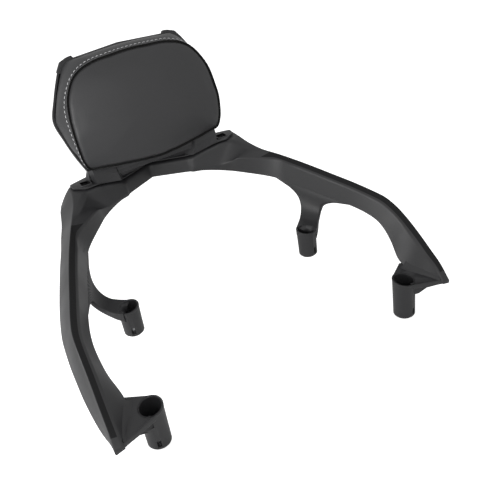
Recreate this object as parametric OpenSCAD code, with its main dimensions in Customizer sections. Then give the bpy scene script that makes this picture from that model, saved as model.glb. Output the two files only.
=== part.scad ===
/* [Mounting] */
// Distance between the axes of the two front bosses
front_span = 309; // [290:1:330]
// Distance between the axes of the two rear bosses
rear_span = 238; // [220:1:250]
// Distance from the front bosses back to the rear bosses
boss_pitch = 135; // [125:1:145]
// Height of the rear seats above the front seats
rear_rise = 32; // [28:1:36]
// Diameter of the bolt holes in the collars
bolt_hole_d = 8.8; // [8.4:0.1:9.6]

/* [Bosses] */
// Height of the front bosses at their axes
front_boss_h = 47; // [42:1:52]
// Height of the rear bosses at their axes
rear_boss_h = 35; // [32:1:38]
// Diameter of the front bosses at their rims
front_boss_d = 25.4; // [24:0.2:28]
// Diameter of the rear bosses at their rims
rear_boss_d = 24; // [23:0.2:26]
// Wall round the counterbores
boss_wall = 1.8; // [1.4:0.1:2.4]
// How much narrower a boss is at its foot
boss_taper = 1.2; // [0.6:0.1:2]
// Chamfer at the foot of a boss
boss_chamfer = 1.8; // [1:0.1:2.4]
// Thickness of the floor that the bolt head rests on
seat_t = 13; // [11:0.5:16]
// Outer diameter of the steel collars
collar_d = 14; // [13:0.5:16]
// Width of the window that shows the collar
window_w = 4; // [3:0.5:5]
// Height of the window
window_h = 8; // [6:0.5:9]

/* [Rail] */
// Width over the ridges at the front tips
rail_w = 400; // [380:1:420]
// Depth from the front tips to the rear corners
rail_depth = 297; // [285:1:310]
// Height of the front tips above the front seats
tip_z = 38; // [36:1:40]
// Height of the rear corners above the front seats
deck_z = 153; // [148:1:158]
// Width of the flat strip along the top of each arm
strip_w = 8; // [6:0.5:10]
// Fall of the strip towards its inner edge
strip_fall = 4.6; // [3.5:0.1:5.5]
// How far the skirt bulges between the ridge and its foot
skirt_belly = 1.2; // [0.5:0.1:2]
// How far the outer skirt stands out from the ridge
skirt_out = 17; // [15:0.5:20]
// How far the outer skirt drops from the ridge
skirt_drop = 25; // [22:0.5:28]
// Wall thickness of the channel
rail_wall = 3.6; // [3:0.1:4.5]
// Thickness of the ribs in the channel
rib_t = 2.4; // [2:0.1:3]
// Number of ribs in each arm
rib_count = 6; // [3:1:8]
// Thickness of the plate at the front tips
plate_t = 5.5; // [4.5:0.5:7]

/* [Backrest] */
// Lean of the backrest from upright
lean = 16; // [12:1:20]
// Half the width of the cushion panel
panel_half_w = 93.5; // [88:0.5:98]
// Height of the cushion panel at its middle
panel_h = 130; // [124:1:136]
// How far the panel's crown stands out of its seam
panel_crown = 13; // [8:1:18]
// Depth of the cushion from its seam to the shell
cushion_d = 33; // [28:1:38]
// Thickness of the sewn cover
cover_t = 1.4; // [1:0.1:2]
// Thickness of the board in the cushion
board_t = 3; // [2.5:0.1:4]
// Wall thickness of the shell and the pedestal
shell_t = 2.6; // [2.2:0.1:3.2]
// How deep the back of the shell is at its middle
shell_bulge = 38; // [34:1:42]

/* [Fasteners] */
// Thread diameter of the stay bolts
stay_bolt_d = 8; // [6:1:8]
// Thread diameter of the small bolts
small_bolt_d = 6; // [5:1:6]
// Thickness of the washers
washer_t = 1.6; // [1.2:0.1:2]
// Thickness of the steel stay
stay_t = 4; // [3:0.5:5]
// Width of the steel stay
stay_w = 76; // [70:1:84]

/* [Hidden] */
$fn = 48;
over = 0.5;
front_x = front_span / 2;
rear_x = rear_span / 2;
half_w = rail_w / 2;
tip_y = -22;
corner_y = tip_y + rail_depth;
front_slope = [8.2, 7.5];
rear_slope = [3, 7];

// Wells for the pedestal's screws
well_x = 95;
well_y = 284;
well_z = 153;
cup_w = 15;
cup_wall = 1.7;
cup_depth = 7;
fit = 0.2;
insert_d = 9;
insert_l = 9;
flange_t = 3;
// Seats for the stay
stay_bolt_x = 28;
stay_bolt_y = 312.5;
stay_seat_z = 145.6;
stay_boss_d = 19;
stay_insert_d = 12;
stay_insert_l = 14;

// Right arm from its tip to the ramp. Each row has the share of the depth, the inset of the
// ridge from the half width, the share of the rise, then how far in and how far down the
// inner wall's foot lies from the ridge, and the shares of the skirt's width and drop.
arm_rows = [
    [0.000, 0.0, 0.000, 9.5, 2.5, 0.02, 0.22],
    [0.040, 0.8, 0.135, 12.4, 10, 0.10, 0.74],
    [0.088, 1.9, 0.241, 19.3, 20, 0.32, 1.05],
    [0.128, 2.9, 0.330, 25.5, 28, 0.48, 1.05],
    [0.175, 4.1, 0.426, 25, 34.5, 0.60, 1.02],
    [0.229, 5.3, 0.519, 19.3, 31.6, 0.64, 1],
    [0.273, 6.4, 0.576, 17.3, 27.2, 0.66, 1],
    [0.316, 8.4, 0.619, 16.0, 25.5, 0.70, 1],
    [0.370, 12.8, 0.650, 14.4, 24.5, 0.84, 1],
    [0.455, 21.4, 0.697, 13.0, 25.2, 0.97, 1],
    [0.552, 31.0, 0.737, 13.2, 27.0, 1.0, 1],
    [0.643, 40.4, 0.777, 13.0, 28.0, 1.0, 1],
    [0.734, 50.7, 0.817, 13.0, 29.5, 1.03, 1],
    [0.818, 60.8, 0.850, 15.0, 27.5, 1.06, 1]
];
function ridge(k) = [
    half_w - arm_rows[k][1],
    tip_y + rail_depth * arm_rows[k][0],
    tip_z + (deck_z - tip_z) * arm_rows[k][2]
];
function unit2(v) = [v.x, v.y, 0] / norm([v.x, v.y]);
function inward(k) = let (d = unit2(ridge(min(k + 1, len(arm_rows) - 1)) - ridge(max(k - 1, 0)))) [-d.y, d.x, 0];
function mix(a, b, t) = a + (b - a) * t;
// The guide points of a section are the skirt's foot, the ridge, the middle of the strip,
// the strip's inner edge and the inner wall's foot.
function arm_station(k) =
    let (a = ridge(k), n = inward(k), row = arm_rows[k], f = a + strip_w * n - [0, 0, strip_fall * min(1, k / 2)])
    [a - row[5] * skirt_out * n - [0, 0, row[6] * skirt_drop], a, mix(a, f, 0.45), f, a + row[3] * n - [0, 0, row[4]]];
// Points of the ramp and of the bridge, from the corner to the middle of the rail
corner_station = [[134, 287, 129], [115.5, 276, 153], [102, 267.3, 151.7], [80, 265, 124.8], [78, 268, 116.5]];
ramp_stations = [
    [[148, 252, 113.5], [130, 243, 138.5], [125, 243, 137.8], [98, 247, 134.8], [95.5, 251, 114]],
    [[140, 269, 121], [121, 259, 145.8], [113.5, 255, 144.6], [90, 256, 129.5], [88, 260, 114.8]],
    corner_station
];
bridge_stations = [
    corner_station,
    [[127, 304, 131], [115, 293, 154], [82, 270.6, 152], [68, 271.5, 123], [67, 275, 118.2]],
    [[96, 319, 127], [88, 306, 152], [66, 275.8, 148], [58, 276.5, 123], [57, 279.5, 119.8]],
    [[66, 335, 123], [62, 322, 147], [50, 283, 142], [47, 280.5, 125.5], [46.5, 281.5, 120.8]]
];
middle_stations = [
    [[50, 341, 121.5], [48, 328, 144.5], [43, 289.5, 139.3], [43, 287.5, 130], [43, 286, 121]],
    [[0, 356, 120], [0, 344, 142], [0, 314.8, 137.1], [0, 313.5, 128], [0, 312.3, 119.5]]
];
function spline(a, b, c, d, t) =
    0.5 * (2 * b + (c - a) * t + (2 * a - 5 * b + 4 * c - d) * t * t + (3 * b - a - 3 * c + d) * t * t * t);
function smooth(list, steps) = [
    for (i = [0 : len(list) - 2], s = [0 : steps - 1])
        [for (g = [0 : len(list[0]) - 1])
            spline(list[max(i - 1, 0)][g], list[i][g], list[i + 1][g], list[min(i + 2, len(list) - 1)][g], s / steps)],
    list[len(list) - 1]
];
arm_stations = [for (k = [0 : len(arm_rows) - 1]) arm_station(k)];
right_stations = concat(
    smooth(concat(arm_stations, [ramp_stations[0]]), 2),
    [for (s = smooth(ramp_stations, 2)) s],
    [for (k = [1 : len(bridge_stations) - 1]) bridge_stations[k]],
    middle_stations
);
// Outline of a section: skirt's foot, skirt's belly, ridge, strip, strip's edge, wall's foot
function section(s, belly) =
    let (out = unit2(s[0] - s[4]))
    [s[0], mix(s[0], s[1], 0.55) + belly * out, s[1], s[2], s[3], s[4]];
function flip(p) = [-p.x, p.y, p.z];
function both_ways(right) = concat(
    right, [for (i = [len(right) - 2 : -1 : 0]) [for (p = right[i]) flip(p)]]
);
function middle_of(r) = [for (k = [0 : 2]) (r[0][k] + r[2][k] + r[4][k] + r[5][k]) / 4];
function pulled(p, c, d) = p + d * (c - p) / norm(c - p);
function lowered(p, towards, d, drop) = p + d * unit2(towards - p) - [0, 0, drop];
function cavity(s) =
    let (r = section(s, skirt_belly), c = middle_of(r), d = 1.35 * rail_wall)
    [
        lowered(r[0], r[5], rail_wall, 8), pulled(r[1], c, rail_wall), pulled(r[2], c, d), pulled(r[3], c, rail_wall),
        pulled(r[4], c, d), lowered(r[5], r[0], rail_wall, 8)
    ];

// Closed skin over a list of rings that all have the same number of points
module skin(rings) {
    n = len(rings[0]);
    m = len(rings);
    polyhedron(
        points = [for (r = rings, p = r) p],
        faces = concat(
            [for (i = [0 : m - 2], j = [0 : n - 1]) [i * n + j, i * n + (j + 1) % n, (i + 1) * n + (j + 1) % n]],
            [for (i = [0 : m - 2], j = [0 : n - 1]) [i * n + j, (i + 1) * n + (j + 1) % n, (i + 1) * n + j]],
            [for (j = [1 : n - 2]) [0, j + 1, j]],
            [for (j = [1 : n - 2]) [(m - 1) * n, (m - 1) * n + j, (m - 1) * n + j + 1]]
        )
    );
}
module both_sides() {
    children();
    mirror([1, 0, 0]) children();
}
// Places its children at the rim of a boss, in the tilted plane of that rim
module at_rim(x, y, z, slope) {
    translate([x, y, z]) rotate([slope[0], slope[1], 0]) children();
}

module arms() {
    difference() {
        skin(both_ways([for (s = right_stations) section(s, skirt_belly)]));
        difference() {
            skin(both_ways([for (k = [8 : len(right_stations) - 1]) cavity(right_stations[k])]));
            ribs();
        }
    }
}
module ribs() {
    for (i = [0 : rib_count - 1]) {
        k = 10 + round(i * 18 / (rib_count - 1));
        s = right_stations[k];
        d = unit2(s[4] - s[0]);
        both_sides() translate(mix(s[0], s[4], 0.5))
            rotate([0, 0, atan2(d.y, d.x)]) cube([60, rib_t, 90], center = true);
    }
}
// Web from the inner wall of the arm down to the rear boss. Each row has a point of its rear
// edge, a point of its front edge, and how far out and down its underside lies.
web_rows = [
    [[134, 199, 103], [162, 124, 99], 7, 2],
    [[137.5, 188.5, 97], [156, 136, 93], 5, 2],
    [[139.8, 180, 88.5], [152, 144.5, 85.5], 4, 2],
    [[138.2, 174, 80], [149.5, 146.5, 79], 3.5, 3],
    [[134.7, 169, 72.8], [146, 145, 72.8], 2.5, 4],
    [[129.5, 164, 67.8], [141.5, 141, 69], 1.5, 6],
    [[122, 157, 66.2], [136, 133.5, 67], 0, 9],
    [[112, 147, 66.8], [128, 126, 66.5], 0, 12]
];
module web() {
    rings = [for (r = smooth([for (w = web_rows) [w[0], w[1], [w[2], 0, w[3]]]], 2)) [
        r[0], r[1], r[1] + [r[2].x, 0, -r[2].z], r[0] + [r[2].x, 0, -r[2].z]
    ]];
    skin(rings);
}
module front_plate() {
    at_rim(front_x, 0, front_boss_h, front_slope) hull() {
        translate([0, 0, -12]) cylinder(h = 12, d = front_boss_d, $fn = 32);
        translate([half_w - front_x - 5, tip_y + 3.5, -plate_t]) cylinder(h = plate_t, r = 2.5, $fn = 12);
        translate([half_w - front_x - 3, 12, -plate_t]) cylinder(h = plate_t, r = 3, $fn = 12);
        translate([17, 23, -plate_t - 1]) cylinder(h = plate_t + 1, r = 3, $fn = 12);
    }
}
module boss_body(d, h) {
    cylinder(h = boss_chamfer, d1 = d - boss_taper - 2 * boss_chamfer, d2 = d - boss_taper);
    translate([0, 0, boss_chamfer]) cylinder(h = h + 6 - boss_chamfer, d1 = d - boss_taper, d2 = d);
}
module boss_cuts(d, h, turn) {
    translate([0, 0, -over]) cylinder(h = h + 12, d = collar_d);
    translate([0, 0, seat_t]) cylinder(h = h, d = d - 2 * boss_wall);
    rotate([0, 0, turn]) translate([-window_w / 2, -d, 4.5]) cube([window_w, d, window_h]);
}
module above_rim(x, y, z, slope) {
    at_rim(x, y, z, slope) translate([-60, -40, 0]) cube([75, 80, 30]);
}
// Block in the channel that carries the well and the insert of a pedestal screw
module well_block() {
    translate([well_x - 10, well_y - 10, well_z - 24]) cube([20, 20, 22]);
}
module well_cuts() {
    translate([well_x - cup_w / 2 - fit, well_y - cup_w / 2 - fit, well_z - cup_depth - fit])
        cube([cup_w + 2 * fit, cup_w + 2 * fit, 30]);
    translate([well_x, well_y, well_z - cup_depth - insert_l - 3]) cylinder(h = 30, d = insert_d);
}
module stay_boss() {
    translate([stay_bolt_x, stay_bolt_y, 122]) cylinder(h = stay_seat_z - 122, d = stay_boss_d);
}
module grab_rail() {
    color([0.07, 0.07, 0.075]) difference() {
        union() {
            arms();
            both_sides() {
                well_block();
                stay_boss();
            }
            both_sides() {
                web();
                front_plate();
                difference() {
                    translate([front_x, 0, 0]) boss_body(front_boss_d, front_boss_h);
                    above_rim(front_x, 0, front_boss_h, front_slope);
                }
                difference() {
                    translate([rear_x, boss_pitch, rear_rise]) boss_body(rear_boss_d, rear_boss_h);
                    above_rim(rear_x, boss_pitch, rear_rise + rear_boss_h, rear_slope);
                }
            }
        }
        both_sides() {
            translate([front_x, 0, 0]) boss_cuts(front_boss_d, front_boss_h, 18);
            translate([rear_x, boss_pitch, rear_rise]) boss_cuts(rear_boss_d, rear_boss_h, 18);
            well_cuts();
            translate([stay_bolt_x, stay_bolt_y, stay_seat_z - stay_insert_l])
                cylinder(h = stay_insert_l + over, d = stay_insert_d);
        }
    }
}
module boss_collars() {
    color([0.6, 0.61, 0.62]) both_sides() {
        for (p = [[front_x, 0, 0], [rear_x, boss_pitch, rear_rise]])
            translate(p) difference() {
                cylinder(h = seat_t, d = collar_d);
                translate([0, 0, -over]) cylinder(h = seat_t + 2 * over, d = bolt_hole_d);
            }
    }
}

// Threaded insert, with its mouth at z = 0
module insert(d, l, bore) {
    difference() {
        translate([0, 0, -l]) cylinder(h = l, d = d);
        translate([0, 0, -l - over]) cylinder(h = l + 2 * over, d = bore + 0.1);
    }
}
// Bolt with a flanged hexagon head that bears on z = 0
module hex_bolt(d, l) {
    translate([0, 0, -l]) cylinder(h = l + over, d = d);
    cylinder(h = 1.4, d = 2 * d);
    translate([0, 0, 1.4]) cylinder(h = 0.62 * d, d = 1.75 * d, $fn = 6);
}
// Screw with a round head and a hexagon socket that bears on z = 0
module socket_screw(d, head_d, head_h, l) {
    difference() {
        union() {
            translate([0, 0, -l]) cylinder(h = l + over, d = d);
            cylinder(h = head_h, d = head_d);
        }
        translate([0, 0, head_h - 0.55 * d]) cylinder(h = d, d = 0.9 * d, $fn = 6);
    }
}
module washer(d, t) {
    difference() {
        cylinder(h = t, d = 2.1 * d);
        translate([0, 0, -over]) cylinder(h = t + 2 * over, d = d + 0.4);
    }
}
module rail_inserts() {
    color([0.72, 0.6, 0.3]) both_sides() translate([stay_bolt_x, stay_bolt_y, stay_seat_z])
        insert(stay_insert_d, stay_insert_l, stay_bolt_d);
}
module pedestal_inserts() {
    color([0.72, 0.6, 0.3]) both_sides() translate([well_x, well_y, well_z - cup_depth - fit])
        insert(insert_d, insert_l, small_bolt_d);
}

// Frame of the backrest: x across, y back through the cushion, z up along the lean
pad_y = 255.8;
pad_z = 170;
function tilt(p) = [p.x, pad_y + p.y * cos(lean) + p.z * sin(lean), pad_z - p.y * sin(lean) + p.z * cos(lean)];
module on_backrest() {
    translate([0, pad_y, pad_z]) rotate([-lean, 0, 0]) children();
}
// Seam of the panel and, beside each of its points, the rim of the cushion, from the middle of
// the lower edge to the middle of the upper edge, as shares of the panel's half width and height
seam_shares = [
    [0, 0], [0.5, 0.035], [0.8, 0.073], [0.92, 0.1], [0.978, 0.154], [1, 0.27], [1.005, 0.385], [1, 0.48],
    [0.985, 0.6], [0.948, 0.71], [0.872, 0.815], [0.79, 0.888], [0.674, 0.942], [0.535, 0.973], [0.267, 0.996], [0, 1.004]
];
rim_shares = [
    [0, -0.062], [0.49, -0.058], [0.79, -0.051], [0.895, -0.03], [0.93, 0.04], [0.99, 0.155], [1.045, 0.28], [1.085, 0.395],
    [1.125, 0.53], [1.12, 0.585], [1.06, 0.695], [0.985, 0.81], [0.87, 0.955], [0.78, 1.035], [0.58, 1.062], [0, 1.083]
];
function seam_point(k) = [seam_shares[k].x * panel_half_w, 0, seam_shares[k].y * panel_h];
function border_point(k, t, inset) =
    let (
        rim = [rim_shares[k].x * panel_half_w, cushion_d, rim_shares[k].y * panel_h],
        p = mix(seam_point(k), rim, t),
        c = [0, p.y, panel_h / 2]
    )
    p + inset * (c - p) / norm(c - p);
function around(half) = concat(half, [for (i = [len(half) - 2 : -1 : 1]) flip(half[i])]);
function border_ring(t, inset) = around([for (k = [0 : len(seam_shares) - 1]) border_point(k, t, inset)]);
function at_depth(ring, y) = [for (p = ring) [p.x, y, p.z]];
// Ring of the panel at a share of its size, raised by its crown
function crown(f) = panel_crown * (1 - pow(f, 3));
function panel_ring(f, back) = around([
    for (k = [0 : len(seam_shares) - 1])
        let (p = seam_point(k)) [p.x * f, back - crown(f), panel_h / 2 + (p.z - panel_h / 2) * f]
]);
panel_steps = [1, 0.93, 0.75, 0.45, 0.12];
module loop_skin(rings) {
    n = len(rings[0]);
    m = len(rings);
    polyhedron(
        points = [for (r = rings, p = r) p],
        faces = concat(
            [for (i = [0 : m - 1], j = [0 : n - 1]) [i * n + j, i * n + (j + 1) % n, (i + 1) % m * n + (j + 1) % n]],
            [for (i = [0 : m - 1], j = [0 : n - 1]) [i * n + j, (i + 1) % m * n + (j + 1) % n, (i + 1) % m * n + j]]
        )
    );
}
turn_in = 12;
rim_in = 1.8;
board_y = cushion_d - cover_t - board_t;
module cover_border() {
    color([0.06, 0.06, 0.063]) on_backrest() loop_skin([
        border_ring(0.05, 0), border_ring(0.5, -0.8), border_ring(1, rim_in),
        border_ring(1, turn_in), at_depth(border_ring(1, turn_in), cushion_d - cover_t),
        at_depth(border_ring(1, cover_t + rim_in), cushion_d - cover_t),
        border_ring(0.5, cover_t - 0.8), border_ring(0.05, cover_t)
    ]);
}
module cover_panel() {
    color([0.08, 0.08, 0.083]) on_backrest() skin(concat(
        [for (i = [len(panel_steps) - 1 : -1 : 0]) panel_ring(panel_steps[i], 0)],
        [for (f = panel_steps) panel_ring(f, cover_t)]
    ));
}
module cushion_foam() {
    color([0.55, 0.53, 0.45]) on_backrest() skin(concat(
        [for (f = [0.12, 0.45, 0.75, 0.93]) panel_ring(f, cover_t + 0.3)],
        [border_ring(0.1, cover_t + 0.6), border_ring(0.5, cover_t - 0.2)],
        [at_depth(border_ring(1, cover_t + 4.4), board_y - 0.1)]
    ));
}
board_bolt_x = 22;
board_bolt_z = [28, 78];
standoff = 5;
stay_y = cushion_d + standoff;
shell_screw_d = 4;
shell_screw_at = [[52, 26], [52, 64]];
module board_holes() {
    for (z = board_bolt_z) both_sides() translate([board_bolt_x, 0, z]) children();
}
module cushion_board() {
    color([0.1, 0.1, 0.1]) on_backrest() difference() {
        union() {
            translate([0, board_y + board_t, 0]) rotate([90, 0, 0]) linear_extrude(board_t)
                polygon([for (p = border_ring(1, cover_t + rim_in + 1.6)) [p.x, p.z]]);
            board_holes() rotate([-90, 0, 0]) translate([0, 0, board_y]) cylinder(h = stay_y - board_y, d = 16);
            for (s = shell_screw_at) both_sides() translate([s.x, board_y, s.y])
                rotate([-90, 0, 0]) cylinder(h = board_t + post_l, d = 9);
        }
        board_holes() rotate([-90, 0, 0]) translate([0, 0, board_y - over]) {
            cylinder(h = 20, d = tee_d);
            cylinder(h = tee_t + over, d = tee_flange_d);
        }
        for (s = shell_screw_at) both_sides() translate([s.x, board_y + 1, s.y])
            rotate([-90, 0, 0]) cylinder(h = 20, d = shell_screw_d);
    }
}
tee_d = 8.4;
tee_t = 1.2;
tee_flange_d = 15;
module tee_nuts() {
    color([0.6, 0.61, 0.62]) on_backrest() board_holes() rotate([-90, 0, 0]) difference() {
        union() {
            translate([0, 0, board_y]) cylinder(h = tee_t, d = tee_flange_d);
            translate([0, 0, board_y]) cylinder(h = board_t + 4, d = tee_d);
        }
        translate([0, 0, board_y - 3]) cylinder(h = 20, d = small_bolt_d + 0.1);
    }
}
// Side view of the stay: foot, knee and upright, each point as [y, z]
knee = tilt([0, stay_y + stay_t / 2, 4]);
head = tilt([0, stay_y + stay_t / 2, 92]);
stay_path = [[322, stay_seat_z + stay_t / 2], [303.5, stay_seat_z + stay_t / 2], [knee.y, knee.z], [head.y, head.z]];
function side_of(a, b) = let (d = (b - a) / norm(b - a)) [-d.y, d.x];
function mitre(path, i, w) =
    let (
        n1 = i == 0 ? side_of(path[0], path[1]) : side_of(path[i - 1], path[i]),
        n2 = i == len(path) - 1 ? n1 : side_of(path[i], path[i + 1]),
        n = (n1 + n2) / norm(n1 + n2)
    ) path[i] + n * w / (n * n1);
function ribbon(path, t) = concat(
    [for (i = [0 : len(path) - 1]) mitre(path, i, t / 2)], [for (i = [len(path) - 1 : -1 : 0]) mitre(path, i, -t / 2)]
);
module backrest_stay() {
    color([0.3, 0.3, 0.31]) difference() {
        translate([-stay_w / 2, 0, 0]) rotate([90, 0, 90]) linear_extrude(stay_w) polygon(ribbon(stay_path, stay_t));
        both_sides() translate([stay_bolt_x, stay_bolt_y, stay_seat_z - 1]) cylinder(h = stay_t + 2, d = stay_bolt_d + 0.6);
        on_backrest() {
            board_holes() rotate([-90, 0, 0]) cylinder(h = 60, d = small_bolt_d + 0.6);
            translate([0, 0, 53]) rotate([-90, 0, 0]) cylinder(h = 60, d = 26);
        }
    }
}
module stay_washers() {
    color([0.7, 0.71, 0.72]) both_sides() translate([stay_bolt_x, stay_bolt_y, stay_seat_z + stay_t])
        washer(stay_bolt_d, washer_t);
}
module stay_bolts() {
    color([0.7, 0.71, 0.72]) both_sides() translate([stay_bolt_x, stay_bolt_y, stay_seat_z + stay_t + washer_t])
        hex_bolt(stay_bolt_d, 18);
}
module board_washers() {
    color([0.7, 0.71, 0.72]) on_backrest() board_holes() translate([0, stay_y + stay_t, 0]) rotate([-90, 0, 0])
        washer(small_bolt_d, washer_t);
}
module board_bolts() {
    color([0.7, 0.71, 0.72]) on_backrest() board_holes() translate([0, stay_y + stay_t + washer_t, 0])
        rotate([-90, 0, 0]) socket_screw(small_bolt_d, 10, 3.2, 14);
}

// Pedestal: a flange on the deck of the rail, with a cup in each well, and a front wall with
// two legs and a folded recess between them
function deck(s, t) = mix(s[2], s[1], t);
flange_ends = mix(bridge_stations[0], bridge_stations[1], 0.45);
flange_rows = [
    [flange_ends, 0.12, 0.85], [bridge_stations[1], 0.05, 0.94], [bridge_stations[2], 0.05, 0.95],
    [bridge_stations[3], 0.05, 0.96], [middle_stations[0], 0.05, 0.97], [middle_stations[1], 0.05, 0.9]
];
function flange_section(row, grow) =
    let (a = deck(row[0], row[1]), b = deck(row[0], row[2]), d = unit2(b - a), lift = [0, 0, 0.6], top = [0, 0, flange_t + grow])
    [b + lift, b + top, a + top, a + [0, 0, flange_t / 2], a + 2 * d + lift];
wall_rows = [
    [[0, 316.5, 139.5], [0, 284.2, 152.2]],
    [[42.5, 291, 141.5], [47.5, 283.2, 154.3]],
    [[50.5, 284, 144], [55, 279.2, 158]],
    [[83, 272.5, 154], [84, 274.2, 165.8]],
    [[86.2, 282.5, 154], [87.6, 285.5, 164.8]]
];
function wall_inner(p) = p + shell_t * unit2([-p.x * 0.2, 330 - p.y, 0]);
function wall_section(r) = [wall_inner(r[0]), wall_inner(r[1]), r[1], r[0]];
module front_wall() {
    skin(both_ways([for (i = [len(wall_rows) - 1 : -1 : 0]) wall_section(wall_rows[i])]));
}
module cup(grow, depth) {
    translate([well_x - cup_w / 2 + grow, well_y - cup_w / 2 + grow, well_z - depth])
        cube([cup_w - 2 * grow, cup_w - 2 * grow, depth + 2]);
}
module flange(grow) {
    skin(both_ways([for (r = flange_rows) flange_section(r, grow)]));
}
module pedestal_cover() {
    color([0.09, 0.09, 0.095]) difference() {
        union() {
            flange(0);
            front_wall();
            both_sides() cup(0, cup_depth);
        }
        both_sides() {
            translate([0, 0, 4]) cup(cup_wall, cup_depth + 4 - 2);
            translate([well_x, well_y, 100]) cylinder(h = 100, d = small_bolt_d + 0.6);
            translate([stay_bolt_x, stay_bolt_y, 100]) cylinder(h = 100, d = stay_boss_d + 1);
        }
    }
}
module pedestal_screws() {
    color([0.2, 0.2, 0.21]) both_sides() translate([well_x, well_y, well_z - cup_depth + 2])
        socket_screw(small_bolt_d, 10, 3.2, 10);
}
// Levels of the back shell: height along the lean, half width, share of the depth behind the
// rim, and how far the level rises in the middle
shell_rows = [
    [5.3, 86.7, 1, 0], [26, 94.8, 0.8, 0], [49.5, 101.4, 0.67, 0], [74.4, 106.1, 0.54, 0], [98.1, 96.8, 0.4, 1],
    [113.9, 89.2, 0.3, 2], [127.3, 81.9, 0.2, 3.5], [137.4, 74.7, 0.12, 4.8]
];
shell_shares = [[1, 0], [0.99, 0.3], [0.94, 0.6], [0.77, 0.86], [0.42, 0.98], [0, 1]];
foot_1 = mix(bridge_stations[1], bridge_stations[2], 0.5);
foot_2 = mix(bridge_stations[1], bridge_stations[2], 0.62);
foot_3 = mix(bridge_stations[2], bridge_stations[3], 0.8);
foot_4 = mix(middle_stations[0], middle_stations[1], 0.25);
shell_foot = [
    deck(foot_1, 0.52), deck(foot_2, 0.8), deck(bridge_stations[2], 0.86), deck(foot_3, 0.88), deck(foot_4, 0.9),
    deck(middle_stations[1], 0.75)
];
function half_ring(right) = concat([for (p = right) flip(p)], [for (i = [len(right) - 2 : -1 : 0]) right[i]]);
function shell_ring(row, thin, front) = half_ring([
    for (s = shell_shares) tilt([
        s.x * (row[1] - thin), s.y == 0 ? cushion_d - front : cushion_d + s.y * (row[2] * shell_bulge - thin),
        row[0] + (1 - s.x) * row[3]
    ])
]);
function foot_ring(thin, low) = half_ring([
    for (p = shell_foot) let (c = [0, 290, p.z], q = p + thin * (c - p) / norm(c - p)) q - [0, 0, low]
]);
last_row = len(shell_rows) - 1;
module shell_outside() {
    skin(concat([foot_ring(0, -flange_t - fit)], [for (r = shell_rows) shell_ring(r, 0, 0)]));
}
module shell_inside() {
    skin(concat(
        [foot_ring(shell_t, 1 - flange_t)], [for (i = [0 : last_row - 1]) shell_ring(shell_rows[i], shell_t, 2)],
        [shell_ring(shell_rows[last_row] - [shell_t, 0, 0, 0], shell_t, 2)]
    ));
}
post_l = 7;
post_top = post_l - cover_t + fit;
ear_outline = [
    [58.5, 130], [58.5, 138.5], [60.3, 141.2], [66, 140.4], [75, 137.2], [82.3, 127.2], [79, 124]
];
// How deep the shell is behind its rim
function shell_depth(x, w) =
    let (half = lookup(w, [for (r = shell_rows) [r[0], r[1]]]))
    shell_bulge * lookup(w, [for (r = shell_rows) [r[0], r[2]]]) * lookup(x / half, [[0, 1], [0.42, 0.98], [0.77, 0.86], [1, 0]]);
module back_shell() {
    color([0.07, 0.07, 0.075]) difference() {
        union() {
            difference() {
                shell_outside();
                shell_inside();
            }
            on_backrest() both_sides() {
                translate([0, cushion_d + 7, 0]) rotate([90, 0, 0]) linear_extrude(7) polygon(ear_outline);
                for (s = shell_screw_at) translate([s.x, cushion_d + post_top, s.y]) rotate([-90, 0, 0])
                    cylinder(h = shell_depth(s.x, s.y) - post_top - shell_t / 2, d = 10);
            }
        }
        on_backrest() for (s = shell_screw_at) both_sides() translate([s.x, cushion_d, s.y]) rotate([-90, 0, 0]) {
            cylinder(h = 40, d = shell_screw_d + 0.4);
            translate([0, 0, screw_seat]) cylinder(h = 40, d = 8.4);
        }
    }
}
screw_seat = 9;
module shell_screws() {
    color([0.2, 0.2, 0.21]) on_backrest() for (s = shell_screw_at) both_sides()
        translate([s.x, cushion_d + screw_seat, s.y]) rotate([-90, 0, 0]) socket_screw(shell_screw_d, 7.4, 2.4, 10);
}
grab_rail();
boss_collars();
rail_inserts();
pedestal_inserts();
backrest_stay();
stay_bolts();
stay_washers();
pedestal_cover();
pedestal_screws();
back_shell();
shell_screws();
cushion_board();
tee_nuts();
board_bolts();
board_washers();
cushion_foam();
cover_border();
cover_panel();
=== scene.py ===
"""Looks of the motorcycle backrest: moulded rail, pedestal, shell, sewn cushion, floor, light and camera."""
import math

import bmesh
import bpy
import numpy as np
from mathutils import Matrix, Vector
from mathutils.kdtree import KDTree


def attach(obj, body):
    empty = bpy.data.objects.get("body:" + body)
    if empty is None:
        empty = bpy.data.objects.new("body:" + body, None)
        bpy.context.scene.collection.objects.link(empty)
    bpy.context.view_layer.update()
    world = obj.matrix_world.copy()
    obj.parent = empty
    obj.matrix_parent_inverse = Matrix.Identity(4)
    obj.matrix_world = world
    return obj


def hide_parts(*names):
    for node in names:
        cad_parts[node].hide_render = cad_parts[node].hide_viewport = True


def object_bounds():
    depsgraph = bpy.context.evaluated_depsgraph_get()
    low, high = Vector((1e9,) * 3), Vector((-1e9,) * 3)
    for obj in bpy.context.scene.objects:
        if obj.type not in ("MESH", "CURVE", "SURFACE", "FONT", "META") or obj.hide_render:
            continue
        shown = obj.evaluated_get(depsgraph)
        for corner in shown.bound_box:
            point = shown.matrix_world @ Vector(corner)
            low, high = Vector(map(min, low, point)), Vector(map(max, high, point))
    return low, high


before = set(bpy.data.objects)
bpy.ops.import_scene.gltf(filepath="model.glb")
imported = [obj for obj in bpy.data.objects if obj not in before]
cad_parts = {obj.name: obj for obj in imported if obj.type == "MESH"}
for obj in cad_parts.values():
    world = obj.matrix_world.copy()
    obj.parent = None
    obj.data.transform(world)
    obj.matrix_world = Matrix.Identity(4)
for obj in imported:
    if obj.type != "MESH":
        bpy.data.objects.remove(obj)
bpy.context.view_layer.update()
MM = 0.001

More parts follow.
